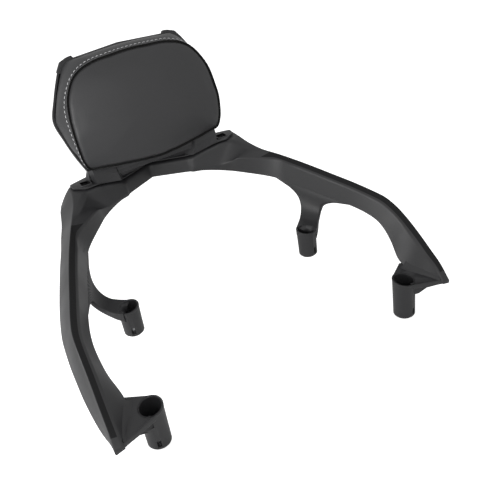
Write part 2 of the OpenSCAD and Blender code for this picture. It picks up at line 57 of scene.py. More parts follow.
# Sizes of the real part in millimetres, as in the part's source
FRONT_BOSS = dict(x=154.5, y=0.0, z=0.0, h=47.0, d=25.4, slope=(-0.1317, 0.1441))
REAR_BOSS = dict(x=119.0, y=135.0, z=32.0, h=35.0, d=24.0, slope=(-0.1228, 0.0524))
BOSS_WALL, BOSS_TAPER, BOSS_CHAMFER, SEAT_T, COLLAR_D = 1.8, 1.2, 1.8, 13.0, 14.0
WINDOW_W, WINDOW_TURN, WINDOW_LOW, WINDOW_HIGH = 4.0, 18.0, 4.5, 12.5
HALF_W, TIP_Y, DEPTH, TIP_Z, DECK_Z = 200.0, -22.0, 297.0, 38.0, 153.0
STRIP_W, STRIP_FALL, SKIRT_OUT, SKIRT_DROP, BELLY, WALL, RIB_T = 8.0, 4.6, 17.0, 25.0, 1.2, 3.6, 2.4
LEAN = math.radians(16)
PAD_Y, PAD_Z = 255.8, 170.0
PANEL_HALF_W, PANEL_H, PANEL_CROWN, CUSHION_D = 93.5, 130.0, 13.0, 33.0
SHELL_BULGE, SHELL_T, SHELL_POWER = 38.0, 2.6, 3.4
SCREW_SEAT, POST_TOP, POST_LIP = 9.0, 5.8, 1.6
POST_BORE, POST_OUTER, SCREW_HOLE = 2.3, 5.0, 4.2

# Arm from tip to ramp: share of the depth, inset of the ridge, share of the rise, the inner wall's foot
# inwards and downwards from the ridge, and the skirt's reach and drop as shares of their full sizes
ARM_ROWS = np.array([
    [0.000, 0.0, 0.000, 9.5, 2.5, 0.02, 0.22],
    [0.040, 0.8, 0.135, 12.4, 10, 0.10, 0.74],
    [0.088, 1.9, 0.241, 19.3, 20, 0.32, 1.05],
    [0.128, 2.9, 0.330, 25.5, 28, 0.48, 1.05],
    [0.175, 4.1, 0.426, 25, 34.5, 0.60, 1.02],
    [0.229, 5.3, 0.519, 19.3, 31.6, 0.64, 1],
    [0.273, 6.4, 0.576, 17.3, 27.2, 0.66, 1],
    [0.316, 8.4, 0.619, 16.0, 25.5, 0.70, 1],
    [0.370, 12.8, 0.650, 14.4, 24.5, 0.84, 1],
    [0.455, 21.4, 0.697, 13.0, 25.2, 0.97, 1],
    [0.552, 31.0, 0.737, 13.2, 27.0, 1.0, 1],
    [0.643, 40.4, 0.777, 13.0, 28.0, 1.0, 1],
    [0.734, 50.7, 0.817, 13.0, 29.5, 1.03, 1],
    [0.818, 60.8, 0.850, 15.0, 27.5, 1.06, 1],
])
# Sections of ramp, bridge and middle: skirt's foot, ridge, strip's middle, strip's edge and inner wall's foot
RAMP = np.array([
    [[148, 252, 113.5], [130, 243, 138.5], [125, 243, 137.8], [98, 247, 134.8], [95.5, 251, 114]],
    [[140, 269, 121], [121, 259, 145.8], [113.5, 255, 144.6], [90, 256, 129.5], [88, 260, 114.8]],
    [[134, 287, 129], [115.5, 276, 153], [102, 267.3, 151.7], [80, 265, 124.8], [78, 268, 116.5]],
])
BRIDGE = np.array([
    [[127, 304, 131], [115, 293, 154], [82, 270.6, 152], [68, 271.5, 123], [67, 275, 118.2]],
    [[96, 319, 127], [88, 306, 152], [66, 275.8, 148], [58, 276.5, 123], [57, 279.5, 119.8]],
    [[66, 335, 123], [62, 322, 147], [50, 283, 142], [47, 280.5, 125.5], [46.5, 281.5, 120.8]],
])
BRIDGE_ALL = np.concatenate([RAMP[-1:], BRIDGE])
MIDDLE = np.array([
    [[50, 341, 121.5], [48, 328, 144.5], [43, 289.5, 139.3], [43, 287.5, 130], [43, 286, 121]],
    [[0, 356, 120], [0, 344, 142], [0, 314.8, 137.1], [0, 313.5, 128], [0, 312.3, 119.5]],
])
# Rows down the web: its rear edge, its front edge and the way to its other face
WEB_ROWS = np.array([
    [[136.5, 192, 96.8], [157.6, 131, 90.5], [4, 0, -2]],
    [[139.2, 181.5, 89], [152.4, 143, 85.3], [4, 0, -2]],
    [[138.2, 174, 80], [149.5, 146.5, 79], [3.5, 0, -3]],
    [[134.7, 169, 72.8], [146, 145, 72.8], [2.5, 0, -4]],
    [[129.5, 164, 67.8], [141.5, 141, 69], [1.5, 0, -6]],
    [[122, 157, 66.2], [136, 133.5, 67], [0, 0, -9]],
    [[112, 147, 66.8], [128, 126, 66.5], [0, 0, -12]],
])
# Where the web meets the arm, from its rear end to its front end, and its points across
WEB_REACH, WEB_POINTS, WEB_ROUND = (216, 102), 15, 2.2
# Its first two rows, in the arm's inner wall: share of the wall's height, and depth in it
WEB_START = ((0.35, 1.2), (0.12, 0.6))
# Sections of the arm before the ramp, sections before the channel opens, and those over which it opens
ARM_STATIONS, CLOSED_STATIONS, OPENING_STATIONS = 131, 36, 8
RIB_STATIONS = (50, 72, 94, 116, 138, 160)
RIB_INSETS, RIB_LIFT = dict(foot=3.2, ridge=4.5, edge=4.0, inner=2.6), 5.0
# Channel: place of the belly between foot and ridge, thickness at the six corners in walls, and their radii
BELLY_AT, WALL_SHARES = 0.55, (0, 1, 1.35, 1, 1.35, 0)
CHANNEL_RADII = (0.8, 16, 1.2, 5, 2.6, 0.8, 0.5, 1.5, 2, 1.5, 5, 0.5)
CORNER_STEPS = 5
# The strip on top of the arms, with its grip finish and painted shade: its faces round the channel, and its
# sections from the tip on
STRIP_COLUMNS, STRIP_START, STRIP_END = (12, 20), 6, 134
PLATE_T, PLATE_POINTS = 5.5, 160
# Rounded edge of the front plate from below: height against its top, and inset
PLATE_EDGE = ((-PLATE_T, 1.2), (-5.2, 0.5), (-4.6, 0.0), (-0.9, 0.0), (-0.3, 0.35), (0.0, 1.1))
# Gusset under the front plate: distance from the boss and height against the plate's top
GUSSET = ((0, -3), (39, -3), (38, -5.8), (25, -6.2), (15, -7.4), (10, -10), (8, -14), (0, -14))
GUSSET_START, GUSSET_RADII = (3.0, -11.6), (0, 0.5, 1, 4, 4, 3, 3, 0)
GUSSET_EDGE = ((0.0, 0.5), (0.5, 0.0), (5.0, 0.0), (5.5, 0.5))
# Fillet on the front plate: reach of its toe and heel from the wall's foot, and how high it climbs the wall
FILLET_TOE, FILLET_HEEL, FILLET_CLIMB, FILLET_RADII = 5.0, 2.5, 0.22, (0.4, 2.5, 0.4, 0.2, 0.2)
# Seam of the cushion's right half from below: shares of half width and height, and depth behind its plane
SEAM = np.array([
    [0, 0, 1], [0.5, 0.033, 4], [0.8, 0.062, 9], [0.935, 0.083, 12.5], [0.978, 0.15, 9.5], [1, 0.27, 4],
    [1.005, 0.385, 0.5], [1, 0.48, 0], [0.985, 0.6, 0], [0.948, 0.71, 0], [0.872, 0.815, 0], [0.79, 0.888, 0],
    [0.674, 0.942, 0], [0.535, 0.973, 0], [0.267, 0.996, 0], [0, 1.004, 0],
])
# Rim of the cushion's right half at the shell, in the same shares
RIM = np.array([
    [0, 0.03], [0.49, 0.033], [0.78, 0.042], [0.875, 0.07], [0.93, 0.125], [0.985, 0.2], [1.045, 0.28],
    [1.085, 0.395], [1.125, 0.53], [1.12, 0.585], [1.06, 0.695], [0.985, 0.81], [0.87, 0.955], [0.78, 1.035],
    [0.58, 1.062], [0, 1.083],
])
# Wall of the pedestal: foot on the flange, fold, and upper edge under the cushion
WALL_ROWS = np.array([
    [[0, 316.5, 139.5], [0, 291, 150], [0, 293.5, 161.5]],
    [[42.5, 295, 141.5], [47.5, 290, 152], [48, 292, 163]],
    [[50.5, 282.5, 144], [54, 277.5, 158], [54.5, 279, 165.5]],
    [[83, 272.5, 154], [84, 274.2, 165.8], [84, 276, 171.8]],
    [[86.2, 282.5, 154], [87.6, 285.5, 164.8], [87.8, 286.2, 168]],
])
WALL_CENTRE_Y = 330.0
WELL = np.array([95.0, 284.0, 153.0])
CUP_W, CUP_WALL, CUP_DEPTH, CUP_FLOOR, CUP_RISE = 15.0, 1.7, 7.0, 2.0, 3.4
FLANGE_T, FLANGE_GAP = 3.2, 0.8
# Where the flange starts and ends at its sections, from the strip's middle at 0 to the ridge at 1
FLANGE_INNER = (0.12, 0.05, 0.05, 0.05, 0.05, 0.05)
FLANGE_OUTER = (0.85, 0.94, 0.95, 0.96, 0.97, 0.9)
# Levels of the back shell: height up the lean, half width, share of its depth, rise in the middle
SHELL_ROWS = np.array([
    [5.3, 86.7, 1, 0], [26, 94.8, 0.8, 0], [49.5, 101.4, 0.67, 0], [74.4, 106.1, 0.54, 0],
    [98.1, 96.8, 0.4, 1], [113.9, 89.2, 0.3, 2], [127.3, 81.9, 0.2, 3.5], [137.4, 74.7, 0.12, 4.8],
])
# Where the shell's foot runs on the strip: section, counted from the last of the ramp, and place across it
SHELL_FOOT = ((1.5, 0.52), (1.62, 0.8), (2, 0.86), (2.8, 0.88), (4.25, 0.9), (5, 0.75))
# Outline of an ear: across, and up the lean
EAR = np.array([
    [58.5, 130], [58.5, 138.5], [60.3, 141.2], [66, 140.4], [75, 137.2], [82.3, 127.2], [79, 124],
])
# Softened edge of the ear from front to back: depth and inset
EAR_ROUND, EAR_EDGE = 1.2, ((0.2, 0.6), (0.0, 0.0), (0.6, -0.3), (6.2, -0.3), (7.0, 0.5))
SHELL_SCREWS = ((52.0, 26.0), (52.0, 64.0))

# Cushion: points round it, rings of the border, and how far the border bulges and sinks
POINTS, BORDER_RINGS, BORDER_BULGE, BORDER_SINK = 240, 15, 3.0, 1.6
# Edge turned in behind the rim: inset from the rim, and depth against the back
TURNED_EDGE = ((12, 0.0), (4.2, 0.0), (2.4, -0.5), (1.8, -2.0))
# Groove of the seam from border to panel: inset from the seam, and depth
GROOVE = ((-1.5, 0.1), (-1.1, 0.9), (-0.8, 2.0), (-0.3, 3.0), (0.3, 3.1), (0.8, 2.2), (1.15, 1.0), (1.6, 0.1),
          (2.4, -1.2), (3.6, -2.6))
# The first of these counts the groove's rings that are coloured with painted shade
GROOVE_SHADE_RINGS, FLAT_GROOVE, PANEL_RINGS = 5, 0.6, 26
# Shares at which border and panel have their rings, and the panel's dome
BORDER_SPAN, PANEL_SPAN, DOME_POWER, DOME_SHARE = (0.88, 0.12), (0.965, 0.04), 2.6, 0.83
FOAM_SHARE, FOAM_DEPTH = 0.93, 0.7
# Topstitching: pitch, lowest stitch, share of the way from seam to rim, and points round the thread
STITCH_PITCH, STITCH_LOW, STITCH_AT, STITCH_SIDES = 5.4, 13.0, 0.16, 6
# One stitch along its length: place, radius of the thread and lift off the border
STITCH = ((-1.75, 0.1, -0.35), (-1.45, 0.45, 0.0), (-0.7, 0.58, 0.25), (0.7, 0.58, 0.25), (1.45, 0.45, 0.0),
          (1.75, 0.1, -0.35))
# Simulation of the cover: size of the copy, its cells, depth that is held, pressure, frames and greatest move
PAD_SHARE, CLOTH_CELL, HELD_DEPTH, CLOTH_PRESSURE, CLOTH_FRAMES, PUSH_LIMIT = 0.985, 5.0, 7.0, 4.0, 20, 5.0

# Camera as fitted to the photograph, and the soft lamps: name, place, size, power and aim
RIGHT, UP, BACK = (0.85839, -0.49358, -0.13983), (0.36281, 0.39139, 0.84569), (-0.36268, -0.77666, 0.51504)
CAMERA_PLACE, LENS, SENSOR = (-0.2490, -0.4588, 0.4840), 49.35, 36.0
LAMPS = (
    ("side", (-0.55, 0.1, 0.3), 0.3, 1.8, (-0.2, 0.12, 0.08)),
    ("front", (-0.5, -1.4, 1.0), 0.8, 4, (0, 0.15, 0.1)),
)
FLOOR_HALF, FLOOR_GAP, FLOOR_GLOW, SURROUND_LIGHT = 6.0, 0.0002, 0.72, 0.72


# Meshes
def make(name, verts, faces, slot=None, material=None, weighted=True):
    """A new smooth object from vertices in millimetres and a list of face arrays."""
    verts = np.asarray(verts, float).reshape(-1, 3)
    loops = np.concatenate([np.asarray(f).ravel() for f in faces])
    sizes = np.concatenate([np.full(len(f), np.asarray(f).shape[1]) for f in faces])
    starts = np.concatenate([[0], np.cumsum(sizes)[:-1]])
    mesh = bpy.data.meshes.new(name)
    mesh.vertices.add(len(verts))
    mesh.vertices.foreach_set("co", (verts * MM).astype(np.float32).ravel())
    mesh.loops.add(len(loops))
    mesh.loops.foreach_set("vertex_index", loops.astype(np.int32))
    mesh.polygons.add(len(sizes))
    mesh.polygons.foreach_set("loop_start", starts.astype(np.int32))
    mesh.update(calc_edges=True)
    mesh.validate()
    outward(mesh)
    mesh.polygons.foreach_set("use_smooth", np.full(len(mesh.polygons), True))
    piece = bpy.data.objects.new(name, mesh)
    bpy.context.scene.collection.objects.link(piece)
    if weighted:
        piece.modifiers.new("Flat faces", "WEIGHTED_NORMAL")
    if material:
        mesh.materials.append(material)
    return piece


def outward(mesh):
    """Turns every face of a closed mesh outwards."""
    shape = bmesh.new()
    shape.from_mesh(mesh)
    bmesh.ops.recalc_face_normals(shape, faces=shape.faces)
    shape.to_mesh(mesh)
    shape.free()


def together(parts):
    """Vertices and face arrays of several parts as one set."""
    verts, by_size, count = [], {}, 0
    for v, faces in parts:
        verts.append(v)
        for f in faces:
            f = np.asarray(f)
            by_size.setdefault(f.shape[1], []).append(f + count)
        count += len(v)
    return np.vstack(verts), [np.concatenate(f) for f in by_size.values()]


def two_sided(parts):
    """Parts of the right side with their mirror images."""
    return parts + [(v * np.array([-1, 1, 1]), f) for v, f in parts]


def skin(rings, wrap=False):
    """Faces over rings of points: quads between neighbours, and fans about a middle point at the ends."""
    m, n, _ = rings.shape
    i, j = np.meshgrid(np.arange(m if wrap else m - 1), np.arange(n), indexing="ij")
    a, b = i * n + j, i * n + (j + 1) % n
    up = ((i + 1) % m) * n
    quads = np.stack([a, b, up + (j + 1) % n, up + j], -1).reshape(-1, 4)
    verts = rings.reshape(-1, 3)
    faces = [quads]
    if not wrap:
        k = np.arange(n)
        verts = np.vstack([verts, rings[0].mean(0), rings[-1].mean(0)])
        faces.append(np.stack([np.full(n, m * n), (k + 1) % n, k], -1))
        faces.append(np.stack([np.full(n, m * n + 1), (m - 1) * n + k, (m - 1) * n + (k + 1) % n], -1))
    return verts, faces


def rounded(corners, radii, steps=CORNER_STEPS):
    """Rings with each corner replaced by a quadratic curve that starts and ends a radius away."""
    before, after = np.roll(corners, 1, 1) - corners, np.roll(corners, -1, 1) - corners
    la = np.linalg.norm(before, axis=2, keepdims=True) + 1e-9
    lb = np.linalg.norm(after, axis=2, keepdims=True) + 1e-9
    r = np.asarray(radii, float).reshape(1, -1, 1)
    p0 = corners + before / la * np.minimum(r, 0.47 * la)
    p2 = corners + after / lb * np.minimum(r, 0.47 * lb)
    t = np.linspace(0, 1, steps).reshape(1, 1, -1, 1)
    curve = (1 - t) ** 2 * p0[:, :, None] + 2 * t * (1 - t) * corners[:, :, None] + t ** 2 * p2[:, :, None]
    return curve.reshape(len(corners), -1, 3)


def rounded_outline(corners, radii):
    """A flat outline with its corners rounded."""
    return rounded(np.pad(np.asarray(corners, float), ((0, 0), (0, 1)))[None], radii)[0, :, :2]


def circle(radius, count):
    """Points of a circle about the origin."""
    a = np.linspace(0, 2 * np.pi, count, endpoint=False)
    return radius * np.stack([np.cos(a), np.sin(a)], 1)


def slopes(rows, h):
    """Slopes at the rows of a run, each weighted by the steps beside it."""
    step = np.diff(rows, axis=0) / h[:, None]
    between = (step[:-1] * h[1:, None] + step[1:] * h[:-1, None]) / (h[1:] + h[:-1])[:, None]
    return np.vstack([step[:1], between, step[-1:]])


def cubic(a, b, slope_a, slope_b, h, t):
    """Rows at the shares t of a smooth curve that joins a and b over a step h."""
    return ((2 * t ** 3 - 3 * t ** 2 + 1) * a + (t ** 3 - 2 * t ** 2 + t) * h * slope_a
            + (-2 * t ** 3 + 3 * t ** 2) * b + (t ** 3 - t ** 2) * h * slope_b)


def flow(rows, steps, guide=1):
    """Rows carried through a smooth curve whose slopes are weighted by the distance along one guide point."""
    rows = np.asarray(rows, float)
    flat = rows.reshape(len(rows), -1)
    point = rows[:, guide] if rows.ndim == 3 else rows
    h = np.linalg.norm(np.diff(point, axis=0), axis=-1)
    m = slopes(flat, h)
    t = (np.arange(steps) / steps).reshape(1, -1, 1)
    out = cubic(flat[:-1, None], flat[1:, None], m[:-1, None], m[1:, None], h[:, None, None], t)
    out = np.vstack([out.reshape(-1, flat.shape[1]), flat[-1:]])
    return out.reshape((-1,) + rows.shape[1:])


def straight(rows, steps):
    """Rows joined by straight lines."""
    rows = np.asarray(rows, float)
    t = (np.arange(steps) / steps).reshape((1, -1) + (1,) * (rows.ndim - 1))
    out = rows[:-1, None] + (rows[1:, None] - rows[:-1, None]) * t
    return np.concatenate([out.reshape((-1,) + rows.shape[1:]), rows[-1:]])


def softened(rows, turns):
    """Rows averaged with their neighbours a number of times, with the two ends kept."""
    for _ in range(turns):
        rows = np.concatenate([rows[:1], 0.25 * rows[:-2] + 0.5 * rows[1:-1] + 0.25 * rows[2:], rows[-1:]])
    return rows


def both_ways(right):
    """The right half's rows followed by their mirror images in reverse order."""
    return np.concatenate([right, right[-2::-1] * np.array([-1, 1, 1])])


def unit(v):
    """Unit vectors."""
    return v / (np.linalg.norm(v, axis=-1, keepdims=True) + 1e-9)


def flat_unit(v):
    """Horizontal unit vectors."""
    return unit(v * np.array([1, 1, 0]))


def distances(points):
    """Distance along a run of points, from its first."""
    return np.concatenate([[0], np.cumsum(np.linalg.norm(np.diff(points, axis=0), axis=1))])


def tilt(p):
    """Points of the backrest's frame (across, back, up the lean) moved into the part's frame."""
    x, y, z = np.moveaxis(np.asarray(p, float), -1, 0)
    c, s = math.cos(LEAN), math.sin(LEAN)
    return np.stack([x, PAD_Y + y * c + z * s, PAD_Z - y * s + z * c], -1)


def ring_at(flat, depth):
    """A closed outline of the backrest's frame at a depth behind the seam's plane."""
    return tilt(np.stack([flat[:, 0], depth + 0 * flat[:, 0], flat[:, 1]], 1))


# Materials
def new_group(name, inputs, outputs):
    """A shader node group with number sockets: inputs by label with their values, and outputs by label."""
    g = bpy.data.node_groups.new(name, "ShaderNodeTree")
    for label, value in inputs.items():
        socket = g.interface.new_socket(name=label, in_out="INPUT", socket_type="NodeSocketFloat")
        socket.default_value = value
    for label in outputs:
        g.interface.new_socket(name=label, in_out="OUTPUT", socket_type="NodeSocketFloat")
    return g, g.nodes.new("NodeGroupInput"), g.nodes.new("NodeGroupOutput")


def add_node(tree, kind, **settings):
    """A node with its properties set by name and its inputs by label, with underscores for spaces."""
    node = tree.nodes.new(kind)
    for key, value in settings.items():
        if hasattr(node, key):
            setattr(node, key, value)
        else:
            node.inputs[key.replace("_", " ")].default_value = value
    return node


def link(tree, *pairs):
    """Joins an output to an input for each pair."""
    for output, to in pairs:
        tree.links.new(output, to)


def uneven_gloss(g, given, made, scale, detail):
    """Slow noise that moves the gloss between its two ends, and gives back the nodes of place and noise."""
    place = g.nodes.new("ShaderNodeTexCoord")
    slow = add_node(g, "ShaderNodeTexNoise", Scale=scale, Detail=detail)
    gloss = add_node(g, "ShaderNodeMapRange", From_Min=0.3, From_Max=0.7)
    link(g,
         (place.outputs["Object"], slow.inputs["Vector"]),
         (slow.outputs["Fac"], gloss.inputs["Value"]),
         (given.outputs["Gloss low"], gloss.inputs["To Min"]),
         (given.outputs["Gloss high"], gloss.inputs["To Max"]),
         (gloss.outputs["Result"], made.inputs["Roughness"]))
    return place, slow


def grain_group():
    """Moulded grain: fine cells for height, and a slightly uneven gloss and shade."""
    g, given, made = new_group("moulded grain", {"Scale": 900.0, "Gloss low": 0.42, "Gloss high": 0.5},
                               ["Height", "Roughness", "Shade"])
    place, slow = uneven_gloss(g, given, made, 26, 4)
    fine = add_node(g, "ShaderNodeTexVoronoi", feature="SMOOTH_F1")
    shade = add_node(g, "ShaderNodeMapRange", From_Min=0.3, From_Max=0.7, To_Min=0.93, To_Max=1.07)
    link(g,
         (place.outputs["Object"], fine.inputs["Vector"]),
         (given.outputs["Scale"], fine.inputs["Scale"]),
         (slow.outputs["Fac"], shade.inputs["Value"]),
         (fine.outputs["Distance"], made.inputs["Height"]),
         (shade.outputs["Result"], made.inputs["Shade"]))
    return g


def leather_group():
    """Pebbled vinyl: cells with soft valleys over a fine noise, and wear in the gloss."""
    g, given, made = new_group("pebbled vinyl", {"Scale": 520.0, "Gloss low": 0.4, "Gloss high": 0.5},
                               ["Height", "Roughness"])
    place, _ = uneven_gloss(g, given, made, 18, 5)
    fine = add_node(g, "ShaderNodeTexNoise", Scale=160)
    cells = add_node(g, "ShaderNodeTexVoronoi", feature="DISTANCE_TO_EDGE")
    valley = add_node(g, "ShaderNodeMapRange", interpolation_type="SMOOTHSTEP", From_Min=0.0, From_Max=0.22)
    both = add_node(g, "ShaderNodeMath", operation="ADD")
    part = add_node(g, "ShaderNodeMath", operation="MULTIPLY")
    part.inputs[1].default_value = 0.6
    link(g,
         (place.outputs["Object"], cells.inputs["Vector"]),
         (place.outputs["Object"], fine.inputs["Vector"]),
         (given.outputs["Scale"], cells.inputs["Scale"]),
         (cells.outputs["Distance"], valley.inputs["Value"]),
         (fine.outputs["Fac"], part.inputs[0]),
         (valley.outputs["Result"], both.inputs[0]),
         (part.outputs[0], both.inputs[1]),
         (both.outputs[0], made.inputs["Height"]))
    return g


GRAIN, LEATHER = grain_group(), leather_group()


def finish(name, colour, group=None, metallic=0.0, roughness=0.5, bump=0.0, distance=0.0001, specular=0.5,
           **values):
    """A principled material, with an optional group for its height, gloss and shade."""
    m = bpy.data.materials.new(name)
    m.use_nodes = True
    t = m.node_tree
    face = t.nodes["Principled BSDF"]
    face.inputs["Base Color"].default_value = (*colour, 1)
    face.inputs["Metallic"].default_value = metallic
    face.inputs["Roughness"].default_value = roughness
    face.inputs["Specular IOR Level"].default_value = specular
    if not group:
        return m
    g = add_node(t, "ShaderNodeGroup", node_tree=group)
    for key, value in values.items():
        g.inputs[key.replace("_", " ").capitalize()].default_value = value
    relief = add_node(t, "ShaderNodeBump", Strength=bump, Distance=distance)
    link(t,
         (g.outputs["Roughness"], face.inputs["Roughness"]),
         (g.outputs["Height"], relief.inputs["Height"]),
         (relief.outputs["Normal"], face.inputs["Normal"]))
    if "Shade" in g.outputs:
        # The mix node's colours are its inputs 6 and 7 and its output 2
        mix = add_node(t, "ShaderNodeMix", data_type="RGBA", blend_type="MULTIPLY", Factor=1)
        mix.inputs[6].default_value = (*colour, 1)
        link(t, (g.outputs["Shade"], mix.inputs[7]), (mix.outputs[2], face.inputs["Base Color"]))
    return m


def grained(name, colour, gloss_low, gloss_high, **values):
    """A finish with the moulded grain."""
    return finish(name, colour, GRAIN, gloss_low=gloss_low, gloss_high=gloss_high, **values)


RAIL_BLACK = grained("rail plastic", (0.017, 0.017, 0.0183), 0.4, 0.5, bump=0.35, distance=0.00012)
# Strip on the arms' top: rougher, duller and coarser grained than the rail, and darker in colour as painted
# shade
STRIP_GRIP_AND_SHADE = grained("grip strip and painted shade", (0.009, 0.009, 0.0095), 0.55, 0.65, bump=0.6, distance=0.0002, specular=0.2,
                     scale=500.0)
COVER_BLACK = grained("cover plastic", (0.021, 0.021, 0.0225), 0.42, 0.52, bump=0.35, distance=0.00012)
VINYL = finish("cushion vinyl", (0.028, 0.028, 0.0295), LEATHER, bump=0.16, distance=0.0002,
               gloss_low=0.46, gloss_high=0.54)
THREAD = finish("grey thread", (0.55, 0.55, 0.56), roughness=0.7)
# Painted shade: a near black colour for the seam's groove, standing in for the shadow inside it
GROOVE_PAINTED_SHADE = finish("seam shade", (0.006, 0.006, 0.006), roughness=0.8)
ZINC = grained("zinc plate", (0.55, 0.56, 0.58), 0.3, 0.42, metallic=1.0, bump=0.1, distance=0.00005)
BRASS = grained("turned brass", (0.72, 0.55, 0.27), 0.3, 0.4, metallic=1.0, bump=0.1, distance=0.00005)
BLACK_STEEL = grained("blackened steel", (0.03, 0.03, 0.032), 0.38, 0.5, metallic=0.6, bump=0.15,
                      distance=0.00005)
POWDER = grained("powder coat", (0.025, 0.025, 0.027), 0.45, 0.55, bump=0.3, distance=0.0002)
BOARD = grained("board plastic", (0.04, 0.04, 0.042), 0.5, 0.6, bump=0.2, distance=0.0001)
FOAM = grained("foam", (0.5, 0.46, 0.34), 0.85, 0.95, bump=0.5, distance=0.0004)

NODE_FINISH = {
    ZINC: ("boss_collars", "stay_bolts", "stay_washers", "tee_nuts", "board_bolts", "board_washers"),
    BRASS: ("rail_inserts", "pedestal_inserts"),
    BLACK_STEEL: ("pedestal_screws", "shell_screws"),
    POWDER: ("backrest_stay",),
    BOARD: ("cushion_board",),
    FOAM: ("cushion_foam",),
    VINYL: ("cover_border", "cover_panel"),
    RAIL_BLACK: ("grab_rail",),
    COVER_BLACK: ("pedestal_cover", "back_shell"),
}


def dress_nodes():
    """Gives every CAD node its finish."""
    for material, names in NODE_FINISH.items():
        for holder in (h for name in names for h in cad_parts[name].material_slots):
            holder.link = "OBJECT"
            holder.material = material


dress_nodes()


# Rail
def arm_guides():
    """Sections of the right arm, each with the five points that the ramp's sections have."""
    f, inset, rise, foot_in, foot_drop, skirt, drop = ARM_ROWS.T
    ridge = np.stack([HALF_W - inset, TIP_Y + DEPTH * f, TIP_Z + (DECK_Z - TIP_Z) * rise], 1)
    k = np.arange(len(ridge))
    d = flat_unit(ridge[np.minimum(k + 1, len(k) - 1)] - ridge[np.maximum(k - 1, 0)])
    n = np.stack([-d[:, 1], d[:, 0], 0 * k], 1)
    down = np.array([0, 0, 1.0])
    edge = ridge + STRIP_W * n - (STRIP_FALL * np.minimum(1, k / 2))[:, None] * down
    foot = ridge - (skirt * SKIRT_OUT)[:, None] * n - (drop * SKIRT_DROP)[:, None] * down
    inner = ridge + foot_in[:, None] * n - foot_drop[:, None] * down
    return np.stack([foot, ridge, ridge + 0.45 * (edge - ridge), edge, inner], 1)


def rail_stations():
    """Sections of the right half: a smooth run up the arm, then straight runs over the bridge, softened."""
    first = flow(np.concatenate([arm_guides(), RAMP]), 10)
    second = straight(np.concatenate([RAMP[-1:], BRIDGE, MIDDLE]), 12)
    return softened(np.concatenate([first, second[1:]]), 6)


def channel_part():
    """The rail's moulding, open below: an outer contour of six corners and an inner one a wall further in."""
    foot, ridge, strip, edge, inner_foot = np.moveaxis(rail_stations(), 1, 0)
    out = flat_unit(foot - inner_foot)
    belly = foot + BELLY_AT * (ridge - foot) + BELLY * out
    outer = np.stack([foot, belly, ridge, strip, edge, inner_foot], 1)
    to_middle = (foot + ridge + edge + inner_foot)[:, None] / 4 - outer
    depth = np.array(WALL_SHARES).reshape(1, 6, 1) * WALL
    inner = outer + to_middle / np.linalg.norm(to_middle, axis=2, keepdims=True) * depth
    inner[:, 0] = foot - WALL * out
    inner[:, 5] = inner_foot + WALL * out
    open_share = np.clip((np.arange(len(outer)) - CLOSED_STATIONS) / OPENING_STATIONS, 0, 1)[:, None, None]
    t = np.linspace(0.15, 0.85, 6).reshape(1, 6, 1)
    sole = outer[:, :1] * (1 - t) + outer[:, 5:] * t
    inner = sole + (inner - sole) * open_share
    ring = np.concatenate([outer, inner[:, ::-1]], 1)
    return skin(rounded(both_ways(ring), CHANNEL_RADII))


def rib_parts():
    """Ribs across the channel: thin plates cut to the channel's contour at chosen sections."""
    stations, up, inset = rail_stations(), np.array([0, 0, RIB_LIFT]), RIB_INSETS
    parts = []
    for k in RIB_STATIONS:
        foot, ridge, _, edge, inner = stations[k]
        middle = (foot + ridge + edge + inner) / 4
        across = flat_unit(inner - foot)
        corners = np.stack([foot + inset["foot"] * across + up, ridge + inset["ridge"] * unit(middle - ridge),
                            edge + inset["edge"] * unit(middle - edge), inner - inset["inner"] * across + up])
        along = flat_unit(stations[k + 1, 1] - stations[k - 1, 1]) * RIB_T / 2
        parts.append(skin(np.stack([corners - along, corners + along])))
    return parts


def web_part():
    """The web: it leaves the arm's inner wall flush, and twists down to wrap round the rear boss."""
    arm = rail_stations()[:ARM_STATIONS]
    y = np.linspace(*WEB_REACH, WEB_POINTS)
    foot, edge = (np.stack([np.interp(y, arm[:, g, 1], arm[:, g, k]) for k in range(3)], 1) for g in (4, 3))
    t = np.linspace(0, 1, WEB_POINTS).reshape(1, -1, 1)
    down = WEB_ROWS[:, :1] * (1 - t) + WEB_ROWS[:, 1:2] * t
    out = flat_unit(edge - foot)
    start = np.stack([foot + height * (edge - foot) + depth * out for height, depth in WEB_START])
    thick = np.concatenate([WEB_ROWS[:1, 2:], WEB_ROWS[:1, 2:], WEB_ROWS[:, 2:]])
    rows = flow(np.concatenate([np.concatenate([start, down]), thick], 1), 8, guide=WEB_POINTS // 2)
    face = rows[:, :WEB_POINTS]
    ring = np.concatenate([face, (face + rows[:, WEB_POINTS:])[:, ::-1]], 1)
    ring = rounded(ring, ([WEB_ROUND] + [0] * (WEB_POINTS - 2) + [WEB_ROUND]) * 2, steps=3)
    boss = boss_axis(REAR_BOSS)
    away = ring[:, :, :2] - boss
    reach = np.linalg.norm(away, axis=2, keepdims=True)
    clear = REAR_BOSS["d"] / 2 - BOSS_WALL / 2
    ring[:, :, :2] = np.where(reach < clear, boss + away / (reach + 1e-9) * clear, ring[:, :, :2])
    return skin(ring)


def slope_z(boss, flat):
    """Height of a boss's sloped top over its seat, at points given from its axis."""
    return boss["h"] + flat @ np.array(boss["slope"])


def boss_axis(boss):
    """Place of a boss's axis."""
    return np.array([boss["x"], boss["y"]])


def hull_outline(discs, count):
    """Convex outline round discs (x, y, r): for each direction, the farthest disc's point."""
    way = circle(1, count)
    discs = np.asarray(discs, float)
    reach = discs[:, :2] @ way.T + discs[:, 2:]
    best = reach.argmax(0)
    return discs[best, :2] + discs[best, 2:] * way


